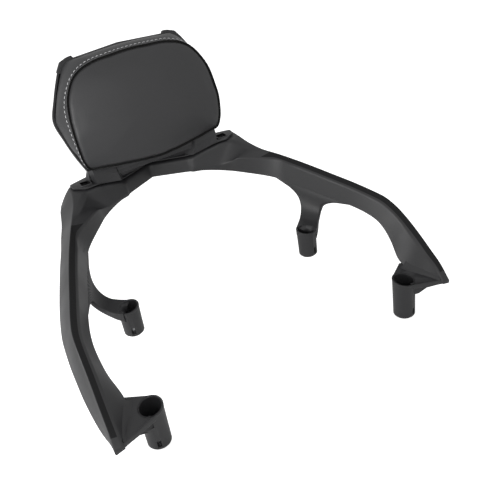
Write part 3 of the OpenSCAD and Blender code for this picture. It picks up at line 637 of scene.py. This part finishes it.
def front_plate_part():
    """The plate between the arm's tip and the front boss: a convex outline with rounded edges and a hole."""
    b, axis = FRONT_BOSS, boss_axis(FRONT_BOSS)
    far = HALF_W - b["x"]
    discs = [(0, 0, b["d"] / 2), (far - 5, TIP_Y + 3.5, 2.5), (far - 3, 12, 3), (17, 23, 3)]
    outline = hull_outline(discs, PLATE_POINTS)
    inwards = unit(outline.mean(0) - outline)
    rings = []
    for z, inset in PLATE_EDGE:
        p = outline + inset * inwards
        rings.append(np.column_stack([axis + p, slope_z(b, p) + z]))
    hole = circle(b["d"] / 2 - BOSS_WALL, PLATE_POINTS)
    for z in (0, -PLATE_T):
        rings.append(np.column_stack([axis + hole, slope_z(b, hole) + z]))
    return skin(np.array(rings), wrap=True)


def tip_fillet_part():
    """The fillet where the arm's inner wall runs out on the front plate."""
    b, axis = FRONT_BOSS, boss_axis(FRONT_BOSS)
    arm = rail_stations()[3:36:3]
    foot, edge = arm[:, 4], arm[:, 3]
    out = flat_unit(edge - foot)
    grow = np.linspace(0.4, 1, len(arm))[:, None]
    toe, heel = foot - FILLET_TOE * grow * out, foot + FILLET_HEEL * out
    toe[:, 2] = slope_z(b, toe[:, :2] - axis) - 0.2
    heel[:, 2] = slope_z(b, heel[:, :2] - axis) - 3.0
    crest = foot + FILLET_CLIMB * (edge - foot) + 0.4 * out
    crest[:, 2] = np.maximum(crest[:, 2], slope_z(b, foot[:, :2] - axis) + 2.5)
    bead = 0.6 * foot + 0.4 * toe + [0, 0, 0.8]
    low = toe + [0, 0, -2.8]
    return skin(rounded(np.stack([crest, bead, toe, low, heel], 1), FILLET_RADII))


def gusset_part():
    """The curved gusset that carries the front plate's forward edge down to the boss."""
    b, axis = FRONT_BOSS, boss_axis(FRONT_BOSS)
    start, end = np.array(GUSSET_START), np.array([HALF_W - b["x"] - 5, TIP_Y + 2.0])
    along = unit(end - start)
    inwards = np.array([-along[1], along[0]])
    profile = rounded_outline(GUSSET, GUSSET_RADII)
    rings = []
    for depth, inset in GUSSET_EDGE:
        flat = start + profile[:, :1] * along + depth * inwards
        rings.append(np.column_stack([axis + flat, slope_z(b, flat) + profile[:, 1] + inset]))
    return skin(np.array(rings))


def boss_part(b):
    """A bolt boss: a profile turned round its axis, sloped above, with a slot through to the collar."""
    r = b["d"] / 2
    foot, inner, hole = r - BOSS_TAPER / 2, r - BOSS_WALL, COLLAR_D / 2
    low, high, slot = WINDOW_LOW, WINDOW_HIGH, 3
    # Each point: radius, height, and how far the height follows the sloped top
    profile = [
        (hole, low, 0), (hole, 0.0, 0), (foot - BOSS_CHAMFER, 0, 0), (foot - 0.3, BOSS_CHAMFER - 0.3, 0),
        (foot, BOSS_CHAMFER + 0.3, 0), (foot + 0.05, low, 0), (foot + 0.12, high, 0), (r, 0, 0.97),
        (r + 0.25, -1.6, 1), (r + 0.3, -0.5, 1), (r + 0.1, -0.1, 1), (r - 0.3, 0, 1), (inner + 0.4, 0, 1),
        (inner, -0.4, 1), (inner, -1.5, 1), (inner - 0.02, SEAT_T + 0.5, 0), (inner - 0.5, SEAT_T, 0),
        (hole + 0.4, SEAT_T, 0), (hole, high, 0),
    ]
    rings = []
    for radius, base, share in profile:
        e = math.asin(WINDOW_W / 2 / radius)
        a = np.concatenate([np.linspace(-e, e, slot + 1)[:-1], np.linspace(e, 2 * np.pi - e, 76)[:-1]])
        a += math.radians(WINDOW_TURN - 90)
        flat = radius * np.stack([np.cos(a), np.sin(a)], 1)
        rings.append(np.column_stack([boss_axis(b) + flat, b["z"] + base + share * slope_z(b, flat)]))
    rings = np.array(rings)
    verts, (quads,) = skin(rings, wrap=True)
    n, last = rings.shape[1], len(profile) - 1
    quads = quads.reshape(len(profile), n, 4)
    keep = np.ones(quads.shape[:2], bool)
    keep[5, :slot] = keep[last, :slot] = False
    outer_low, outer_high, inner_high, inner_low = (k * n for k in (5, 6, last, 0))
    c = np.arange(slot)
    sides = [[outer_low + e, outer_high + e, inner_high + e, inner_low + e] for e in (0, slot)]
    sill = np.stack([outer_low + c, outer_low + c + 1, inner_low + c + 1, inner_low + c], 1)
    lintel = np.stack([outer_high + c, outer_high + c + 1, inner_high + c + 1, inner_high + c], 1)
    return verts, [np.concatenate([quads[keep], sides, sill, lintel])]


def paint_strip(piece):
    """Gives the strip on top of both arms its coarser grip finish, darkened by painted shade, from the tips to
    the ramps.
    """
    last = 2 * len(rail_stations()) - 2
    row = np.concatenate([np.arange(STRIP_START, STRIP_END), np.arange(last - STRIP_END, last - STRIP_START)])
    points = len(CHANNEL_RADII) * CORNER_STEPS
    index = np.zeros(len(piece.data.polygons), int)
    index[(row[:, None] * points + np.arange(*STRIP_COLUMNS)).ravel()] = 1
    piece.data.materials.append(STRIP_GRIP_AND_SHADE)
    piece.data.polygons.foreach_set("material_index", index)


def rail_piece():
    """The whole rail moulding as one object: channel, ribs, webs, plates and bosses."""
    bosses = [boss_part(FRONT_BOSS), boss_part(REAR_BOSS)]
    side_parts = [web_part(), front_plate_part(), tip_fillet_part(), gusset_part(), *bosses, *rib_parts()]
    verts, faces = together([channel_part(), *two_sided(side_parts)])
    piece = make("rail_moulding", verts, faces, material=RAIL_BLACK, slot="rail_plastic")
    paint_strip(piece)
    return piece


rail = rail_piece()
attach(rail, "root")
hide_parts("grab_rail")


# Pedestal and shell
def deck(station, t):
    """A point on the strip of a rail section, from its middle at 0 to its ridge at 1."""
    return station[..., 2, :] * (1 - t) + station[..., 1, :] * t


def wall_part():
    """The folded front wall: foot, fold and upper edge along the pedestal, and an inner face behind."""
    rows = straight(WALL_ROWS, 10)
    behind = flat_unit(np.stack([-rows[..., 0] / 5, WALL_CENTRE_Y - rows[..., 1], 0 * rows[..., 0]], -1))
    ring = np.concatenate([rows, (rows + behind * SHELL_T)[:, ::-1]], 1)
    return skin(rounded(both_ways(ring), [0.4, 0.8, 0.5, 0.5, 0.5, 0.4]))


def flange_part():
    """The flange on the deck: a flat strip whose undercut front edge leaves a dark joint below it."""
    stations = np.concatenate([[0.55 * BRIDGE_ALL[0] + 0.45 * BRIDGE_ALL[1]], BRIDGE_ALL[1:], MIDDLE])
    a, b = (deck(stations, np.array(share).reshape(-1, 1)) for share in (FLANGE_INNER, FLANGE_OUTER))
    way, low, top = flat_unit(b - a), np.array([0, 0, FLANGE_GAP + 0.5]), np.array([0, 0, FLANGE_T])
    ring = np.stack([b + low, b + top, a + top, a + 0.6 * top, a + 5 * way + low], 1)
    return skin(rounded(both_ways(softened(straight(ring, 12), 4)), [0.3, 0.8, 0.7, 0.3, 0.3]))


def square_ring(at, w, z, corner):
    """A square of side w with rounded corners, at a height."""
    h = w / 2
    box = np.array([[[h, h, 0], [-h, h, 0], [-h, -h, 0], [h, -h, 0]]], float)
    return rounded(box, [corner] * 4)[0] + at + [0, 0, z]


def cup_part():
    """A screw cup: outer wall up to the rim, over it and down to the floor inside."""
    inside = CUP_W - 2 * CUP_WALL
    # Each level: width, height against the flange's foot, and radius of its corners
    levels = [(CUP_W - 1, -CUP_DEPTH, 1.5), (CUP_W, -CUP_DEPTH + 0.6, 2), (CUP_W, CUP_RISE - 0.5, 2),
              (CUP_W - 0.6, CUP_RISE, 1.9), (inside + 0.6, CUP_RISE, 1.4), (inside, CUP_RISE - 0.5, 1.2),
              (inside, CUP_FLOOR - CUP_DEPTH, 1.2)]
    return skin(np.array([square_ring(WELL, w, z, corner) for w, z, corner in levels]))


def shell_foot(angle, thin):
    """The shell's foot on the flange, with its points spread evenly and drawn in by a thickness."""
    sections = np.concatenate([BRIDGE_ALL, MIDDLE])
    number = np.arange(len(sections))
    at, across = np.array(SHELL_FOOT).T
    share = np.stack([np.interp(at, number, number == k) for k in number], 1)
    corner = deck(np.tensordot(share, sections, 1), across[:, None])
    step = distances(corner)
    even = step[-1] * (angle / angle[-1])
    foot = np.stack([np.interp(even, step, corner[:, k]) for k in range(3)], 1)
    centre = np.stack([0 * foot[:, 0], 0 * foot[:, 0] + foot[0, 1], foot[:, 2]], 1)
    return foot + thin * unit(centre - foot) + [0, 0, FLANGE_T + 0.2]


def shell_levels(thin):
    """Half rings of the shell, from its foot to its top: superellipses drawn in by a thickness."""
    w, half, share, rise = flow(SHELL_ROWS, 6, guide=0).T
    angle = np.linspace(0, np.pi / 2, 18)
    sx, sy = np.cos(angle) ** (2 / SHELL_POWER), np.sin(angle) ** (2 / SHELL_POWER)
    depth = CUSHION_D + sy * (share[:, None] * SHELL_BULGE - thin)
    depth[:, 0] = CUSHION_D
    level = tilt(np.stack([sx * (half[:, None] - thin), depth, w[:, None] + (1 - sx) * rise[:, None]], -1))
    t = np.linspace(0, 1, 6)[:-1, None, None]
    return np.concatenate([shell_foot(angle, thin) * (1 - t) + level[0] * t, level])


def shell_part():
    """The shell as one wall: each level runs round the outside and back along the inside, closed above."""
    outer, inner = shell_levels(0), shell_levels(SHELL_T)
    inner[-1] = outer[-1] * [0.97, 1, 1]
    inner[-1, :, 1:] = outer[-1, :1, 1:]
    outer, inner = (np.concatenate([half * [-1, 1, 1], half[:, -2::-1]], 1) for half in (outer, inner))
    return skin(np.concatenate([outer, inner[:, ::-1]], 1))


def ear_part():
    """A flat ear at an upper corner of the shell, with softened edges."""
    inwards = unit(EAR.mean(0) - EAR)
    rings = []
    for depth, inset in EAR_EDGE:
        outline = rounded_outline(EAR + inset * inwards, [EAR_ROUND] * len(EAR))
        rings.append(ring_at(outline, CUSHION_D + depth))
    return skin(np.array(rings))


def post_part(x, w):
    """A tube round a shell screw, from its seat out to the shell's back."""
    half, share = (np.interp(w, SHELL_ROWS[:, 0], SHELL_ROWS[:, k]) for k in (1, 2))
    back = CUSHION_D + SHELL_BULGE * share * (1 - (x / half) ** SHELL_POWER) ** (1 / SHELL_POWER)
    top, lip, seat = CUSHION_D + POST_TOP, back - POST_LIP, CUSHION_D + SCREW_SEAT
    profile = ((POST_BORE, top), (POST_OUTER, top), (POST_OUTER, lip), (SCREW_HOLE, lip), (SCREW_HOLE, seat),
               (POST_BORE, seat))
    rings = [ring_at(circle(radius, 32) + [x, w], depth) for radius, depth in profile]
    return skin(np.array(rings), wrap=True)


def screw_holes():
    """Round pins where the shell screws pass."""
    depths = (CUSHION_D + 12, CUSHION_D + 60)
    return [skin(np.array([ring_at(circle(SCREW_HOLE, 40) + at, d) for d in depths])) for at in SHELL_SCREWS]


def cut_holes(piece, parts):
    """Takes parts and their mirror images out of the piece, and keeps the result as its mesh."""
    verts, faces = together(two_sided(parts))
    cutter = make("hole_cutter", verts, faces, weighted=False)
    piece.modifiers.clear()
    m = piece.modifiers.new("Holes", "BOOLEAN")
    m.operation, m.object, m.solver = "DIFFERENCE", cutter, "EXACT"
    mesh = bpy.data.meshes.new_from_object(piece.evaluated_get(bpy.context.evaluated_depsgraph_get()))
    piece.modifiers.clear()
    piece.data = mesh
    bpy.data.objects.remove(cutter)
    mesh.polygons.foreach_set("use_smooth", np.full(len(mesh.polygons), True))
    mesh.set_sharp_from_angle(angle=math.radians(40))
    piece.modifiers.new("Flat faces", "WEIGHTED_NORMAL").keep_sharp = True


def pedestal_pieces():
    """The flange with its two pockets cut out, and the folded wall with the screw cups."""
    flange = make("pedestal_flange", *flange_part(), material=COVER_BLACK, slot="cover_plastic")
    pocket = CUP_W - 2 * CUP_WALL
    cut_holes(flange, [skin(np.array([square_ring(WELL, pocket, z, 1.2) for z in (-12.0, 12.0)]))])
    verts, faces = together([wall_part(), *two_sided([cup_part()])])
    walls = make("pedestal_wall", verts, faces, material=COVER_BLACK, slot="cover_plastic")
    walls.data.set_sharp_from_angle(angle=math.radians(28))
    walls.modifiers["Flat faces"].keep_sharp = True
    return [flange, walls]


def shell_pieces():
    """The shell's wall with its screw holes, and its ears and posts."""
    wall = make("shell_wall", *shell_part(), material=COVER_BLACK, slot="shell_plastic")
    cut_holes(wall, screw_holes())
    verts, faces = together(two_sided([ear_part(), *[post_part(x, w) for x, w in SHELL_SCREWS]]))
    return [wall, make("shell_ears", verts, faces, material=COVER_BLACK, slot="shell_plastic")]


pedestal = pedestal_pieces()
for piece in pedestal:
    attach(piece, "root")
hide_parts("pedestal_cover")
shell = shell_pieces()
for piece in shell:
    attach(piece, "root")
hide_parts("back_shell")


# Cushion
def paired_outlines():
    """Seam and rim of the cushion as closed curves of as many points, walked along both tables together."""
    half = np.hstack([SEAM * [PANEL_HALF_W, PANEL_H, 1], RIM * [PANEL_HALF_W, PANEL_H]])
    ring = np.vstack([half, (half * [-1, 1, 1, -1, 1])[-2:0:-1]])
    both = np.vstack([ring[-3:], ring, ring[:4]])
    h = np.linalg.norm(np.diff(both[:, :2], axis=0), axis=1)
    m = slopes(both, h)
    at = distances(both[:, :2])
    t = np.linspace(at[3], at[3 + len(ring)], POINTS, endpoint=False)
    i = np.clip(np.searchsorted(at, t, side="right") - 1, 0, len(h) - 1)
    share = ((t - at[i]) / h[i])[:, None]
    out = cubic(both[i], both[i + 1], m[i], m[i + 1], h[i][:, None], share)
    return out[:, :2], np.maximum(out[:, 2], 0), out[:, 3:]


SEAM_LINE, SEAM_BACK, RIM_LINE = paired_outlines()
CENTRE = np.array([0, PANEL_H / 2])


def inwards(flat):
    """Inward normals of a closed outline."""
    d = np.roll(flat, -1, 0) - np.roll(flat, 1, 0)
    return np.stack([-d[:, 1], d[:, 0]], 1) / np.linalg.norm(d, axis=1, keepdims=True)


def shrunk(flat, inset):
    """An outline moved inwards along its own normals."""
    return flat + inset * inwards(flat)


def border_line(t):
    """Outline of the border at a share of the way from the seam to the rim."""
    bulge = BORDER_BULGE * math.sin(math.pi * t) - BORDER_SINK * t
    return shrunk(SEAM_LINE + (RIM_LINE - SEAM_LINE) * t, -bulge)


def cushion_rings(groove):
    """Turned edge, border up to the seam, the seam with or without its groove, and a domed panel."""
    rings = [ring_at(shrunk(RIM_LINE, inset), CUSHION_D + depth) for inset, depth in TURNED_EDGE]
    for t in np.linspace(*BORDER_SPAN, BORDER_RINGS):
        rings.append(ring_at(border_line(t), CUSHION_D * t + SEAM_BACK * (1 - t)))
    for inset, depth in GROOVE:
        sink = depth if groove else min(depth, FLAT_GROOVE)
        rings.append(ring_at(shrunk(SEAM_LINE, inset), SEAM_BACK + sink))
    last_inset, last_depth = GROOVE[-1]
    base = shrunk(SEAM_LINE, last_inset)
    for f in np.linspace(*PANEL_SPAN, PANEL_RINGS):
        dome = PANEL_CROWN * (1 - f ** DOME_POWER) * DOME_SHARE - last_depth
        rings.append(ring_at(CENTRE + (base - CENTRE) * f, SEAM_BACK * f ** 4 - dome))
    return np.array(rings)


def even_pad(rings):
    """The cushion's form as a mesh of even cells, for the simulation."""
    pad = make("blown_pad", *skin(rings), weighted=False)
    remesh = pad.modifiers.new("Even", "REMESH")
    remesh.mode, remesh.voxel_size = "VOXEL", CLOTH_CELL * MM
    mesh = bpy.data.meshes.new_from_object(pad.evaluated_get(bpy.context.evaluated_depsgraph_get()))
    pad.modifiers.clear()
    pad.data = mesh
    return pad


def vertex_places(mesh):
    """Coordinates of a mesh's vertices."""
    flat = np.empty(len(mesh.vertices) * 3, np.float32)
    mesh.vertices.foreach_get("co", flat)
    return flat.reshape(-1, 3).astype(float)


def blow(pad):
    """Blows the pad up with its back held, and gives its vertices' first places and their moves."""
    start = vertex_places(pad.data)
    back = (start / MM - [0, PAD_Y, PAD_Z]) @ [0, math.cos(LEAN), -math.sin(LEAN)]
    held = pad.vertex_groups.new(name="held")
    held.add(np.flatnonzero(back > CUSHION_D - HELD_DEPTH).tolist(), 1.0, "REPLACE")
    cloth = pad.modifiers.new("Cloth", "CLOTH").settings
    cloth.use_pressure, cloth.uniform_pressure_force = True, CLOTH_PRESSURE
    cloth.effector_weights.gravity = 0
    cloth.vertex_group_mass = "held"
    scene = bpy.context.scene
    for number in range(1, CLOTH_FRAMES + 1):
        scene.frame_set(number)
    moved = pad.evaluated_get(bpy.context.evaluated_depsgraph_get()).to_mesh()
    push = vertex_places(moved) - start
    scene.frame_set(1)
    length = np.linalg.norm(push, axis=1, keepdims=True)
    return start, push * np.minimum(1, PUSH_LIMIT * MM / (length + 1e-9))


def blown_up(rings):
    """Rings moved as a cloth simulation moves a plain and slightly smaller copy of the cushion round them."""
    middle = rings.reshape(-1, 3).mean(0)
    pad = even_pad(middle + (cushion_rings(False) - middle) * PAD_SHARE)
    start, push = blow(pad)
    bpy.data.objects.remove(pad)
    tree = KDTree(len(start))
    for k, co in enumerate(start):
        tree.insert(co, k)
    tree.balance()
    flat = rings.reshape(-1, 3) * MM
    out = np.empty_like(flat)
    for k, co in enumerate(flat):
        near = tree.find_n(co, 12)
        weight = np.array([1 / (d + 0.002) ** 2 for _, _, d in near])
        out[k] = (push[[i for _, i, _ in near]] * weight[:, None]).sum(0) / weight.sum()
    return rings + out.reshape(rings.shape) / MM


def cushion_piece():
    """The sewn cover with its groove, blown up by the simulation, and painted shade in the groove: its rings
    coloured near black.
    """
    verts, faces = skin(blown_up(cushion_rings(True)))
    piece = make("cushion", verts, faces, material=VINYL, slot="cover_leather")
    bottom = len(TURNED_EDGE) + BORDER_RINGS + 1
    # The groove's first rings get the painted shade
    dark = np.zeros(len(piece.data.polygons), int)
    dark[bottom * POINTS:(bottom + GROOVE_SHADE_RINGS) * POINTS] = 1
    piece.data.materials.append(GROOVE_PAINTED_SHADE)
    piece.data.polygons.foreach_set("material_index", dark)
    return piece


def foam_piece():
    """The foam inside the cover: the cushion's form without its groove, drawn in all round."""
    rings = cushion_rings(False)
    middle = rings.reshape(-1, 3).mean(0)
    back = np.array([0, math.cos(LEAN), -math.sin(LEAN)])
    depth = ((rings - middle) @ back)[..., None] * back
    verts, faces = skin(middle + (rings - middle - depth) * FOAM_SHARE + depth * FOAM_DEPTH)
    return make("foam_block", verts, faces, material=FOAM, slot="foam")


def stitches_piece():
    """Topstitching beside the seam: a short rounded rod for each stitch, laid along the border."""
    t, k, levels = STITCH_AT, STITCH_SIDES, len(STITCH)
    path = border_line(t)
    # The thread's line by its two coordinates, its outward normal and the seam's depth beside it
    line = np.column_stack([path, -inwards(path), SEAM_BACK * (1 - t)])
    line = np.vstack([line, line[:1]])
    step = distances(line[:, :2])
    count = int(step[-1] / STITCH_PITCH)
    middle = np.arange(count) / count * step[-1]
    middle = middle[np.interp(middle, step, line[:, 1]) > STITCH_LOW]
    angle = np.linspace(0, 2 * np.pi, k, endpoint=False)
    rings = []
    for along, radius, lift in STITCH:
        at = (middle + along) % step[-1]
        x, z, out_x, out_z, behind = (np.interp(at, step, column)[:, None] for column in line.T)
        off = lift + 0.75 * radius * np.cos(angle)
        depth = CUSHION_D * t + behind + radius * np.sin(angle)
        rings.append(np.stack([x + out_x * off, depth, z + out_z * off], -1))
    first = (np.arange(len(middle)) * levels * k)[:, None, None, None]
    i, j = np.meshgrid(np.arange(levels - 1), np.arange(k), indexing="ij")
    after = (j + 1) % k
    quads = first + np.stack([i * k + j, i * k + after, (i + 1) * k + after, (i + 1) * k + j], -1)
    verts = tilt(np.stack(rings, 1).reshape(-1, 3))
    return make("topstitching", verts, [quads.reshape(-1, 4)], material=THREAD, slot="cover_leather",
                weighted=False)


cushion = cushion_piece()
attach(cushion, "root")
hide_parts("cover_panel", "cover_border")
foam = foam_piece()
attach(foam, "root")
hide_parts("cushion_foam")
stitching = stitches_piece()
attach(stitching, "root")


# Floor, light and camera
def paper_floor():
    """A pale floor just under the part, lit up a little for the camera alone."""
    mesh = bpy.data.meshes.new("floor")
    e, low = FLOOR_HALF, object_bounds()[0].z - FLOOR_GAP
    mesh.from_pydata([(-e, -e, low), (e, -e, low), (e, e, low), (-e, e, low)], [], [(0, 1, 2, 3)])
    floor = bpy.data.objects.new("floor", mesh)
    bpy.context.scene.collection.objects.link(floor)
    paper = finish("floor paper", (0.86, 0.86, 0.86), roughness=0.9)
    tree = paper.node_tree
    face = tree.nodes["Principled BSDF"]
    face.inputs["Emission Color"].default_value = (1, 1, 1, 1)
    eye = tree.nodes.new("ShaderNodeLightPath")
    glow = add_node(tree, "ShaderNodeMath", operation="MULTIPLY")
    glow.inputs[1].default_value = FLOOR_GLOW
    link(tree,
         (eye.outputs["Is Camera Ray"], glow.inputs[0]),
         (glow.outputs[0], face.inputs["Emission Strength"]))
    mesh.materials.append(paper)


def white_surround():
    """Even light from all sides, which the camera sees as plain white."""
    world = bpy.data.worlds.new("surround")
    bpy.context.scene.world = world
    world.use_nodes = True
    tree = world.node_tree
    sky = tree.nodes["Background"]
    sky.inputs["Color"].default_value = (1, 1, 1, 1)
    path = tree.nodes.new("ShaderNodeLightPath")
    seen = add_node(tree, "ShaderNodeMath", operation="MAXIMUM")
    level = add_node(tree, "ShaderNodeMapRange", To_Min=SURROUND_LIGHT, To_Max=1.0)
    link(tree,
         (path.outputs["Is Camera Ray"], seen.inputs[0]),
         (path.outputs["Is Transmission Ray"], seen.inputs[1]),
         (seen.outputs[0], level.inputs["Value"]),
         (level.outputs["Result"], sky.inputs["Strength"]))


def soft_lamps():
    """Two weak square lamps, each turned to its aim."""
    for name, place, size, power, aim in LAMPS:
        lamp = bpy.data.lights.new(name, "AREA")
        lamp.size, lamp.energy = size, power
        holder = bpy.data.objects.new(name, lamp)
        bpy.context.scene.collection.objects.link(holder)
        holder.location = place
        holder.rotation_euler = (Vector(aim) - Vector(place)).to_track_quat("-Z", "Y").to_euler()


def camera():
    """The camera at the photograph's place, with its axes as found from points of the rail."""
    data = bpy.data.cameras.new("camera")
    data.sensor_width, data.lens = SENSOR, LENS
    data.clip_start, data.clip_end = 0.01, 50
    holder = bpy.data.objects.new("camera", data)
    bpy.context.scene.collection.objects.link(holder)
    holder.matrix_world = Matrix([(*RIGHT, 0), (*UP, 0), (*BACK, 0), (*CAMERA_PLACE, 1)]).transposed()
    bpy.context.scene.camera = holder


paper_floor()
white_surround()
soft_lamps()
camera()
bpy.context.scene.view_settings.view_transform = "Standard"
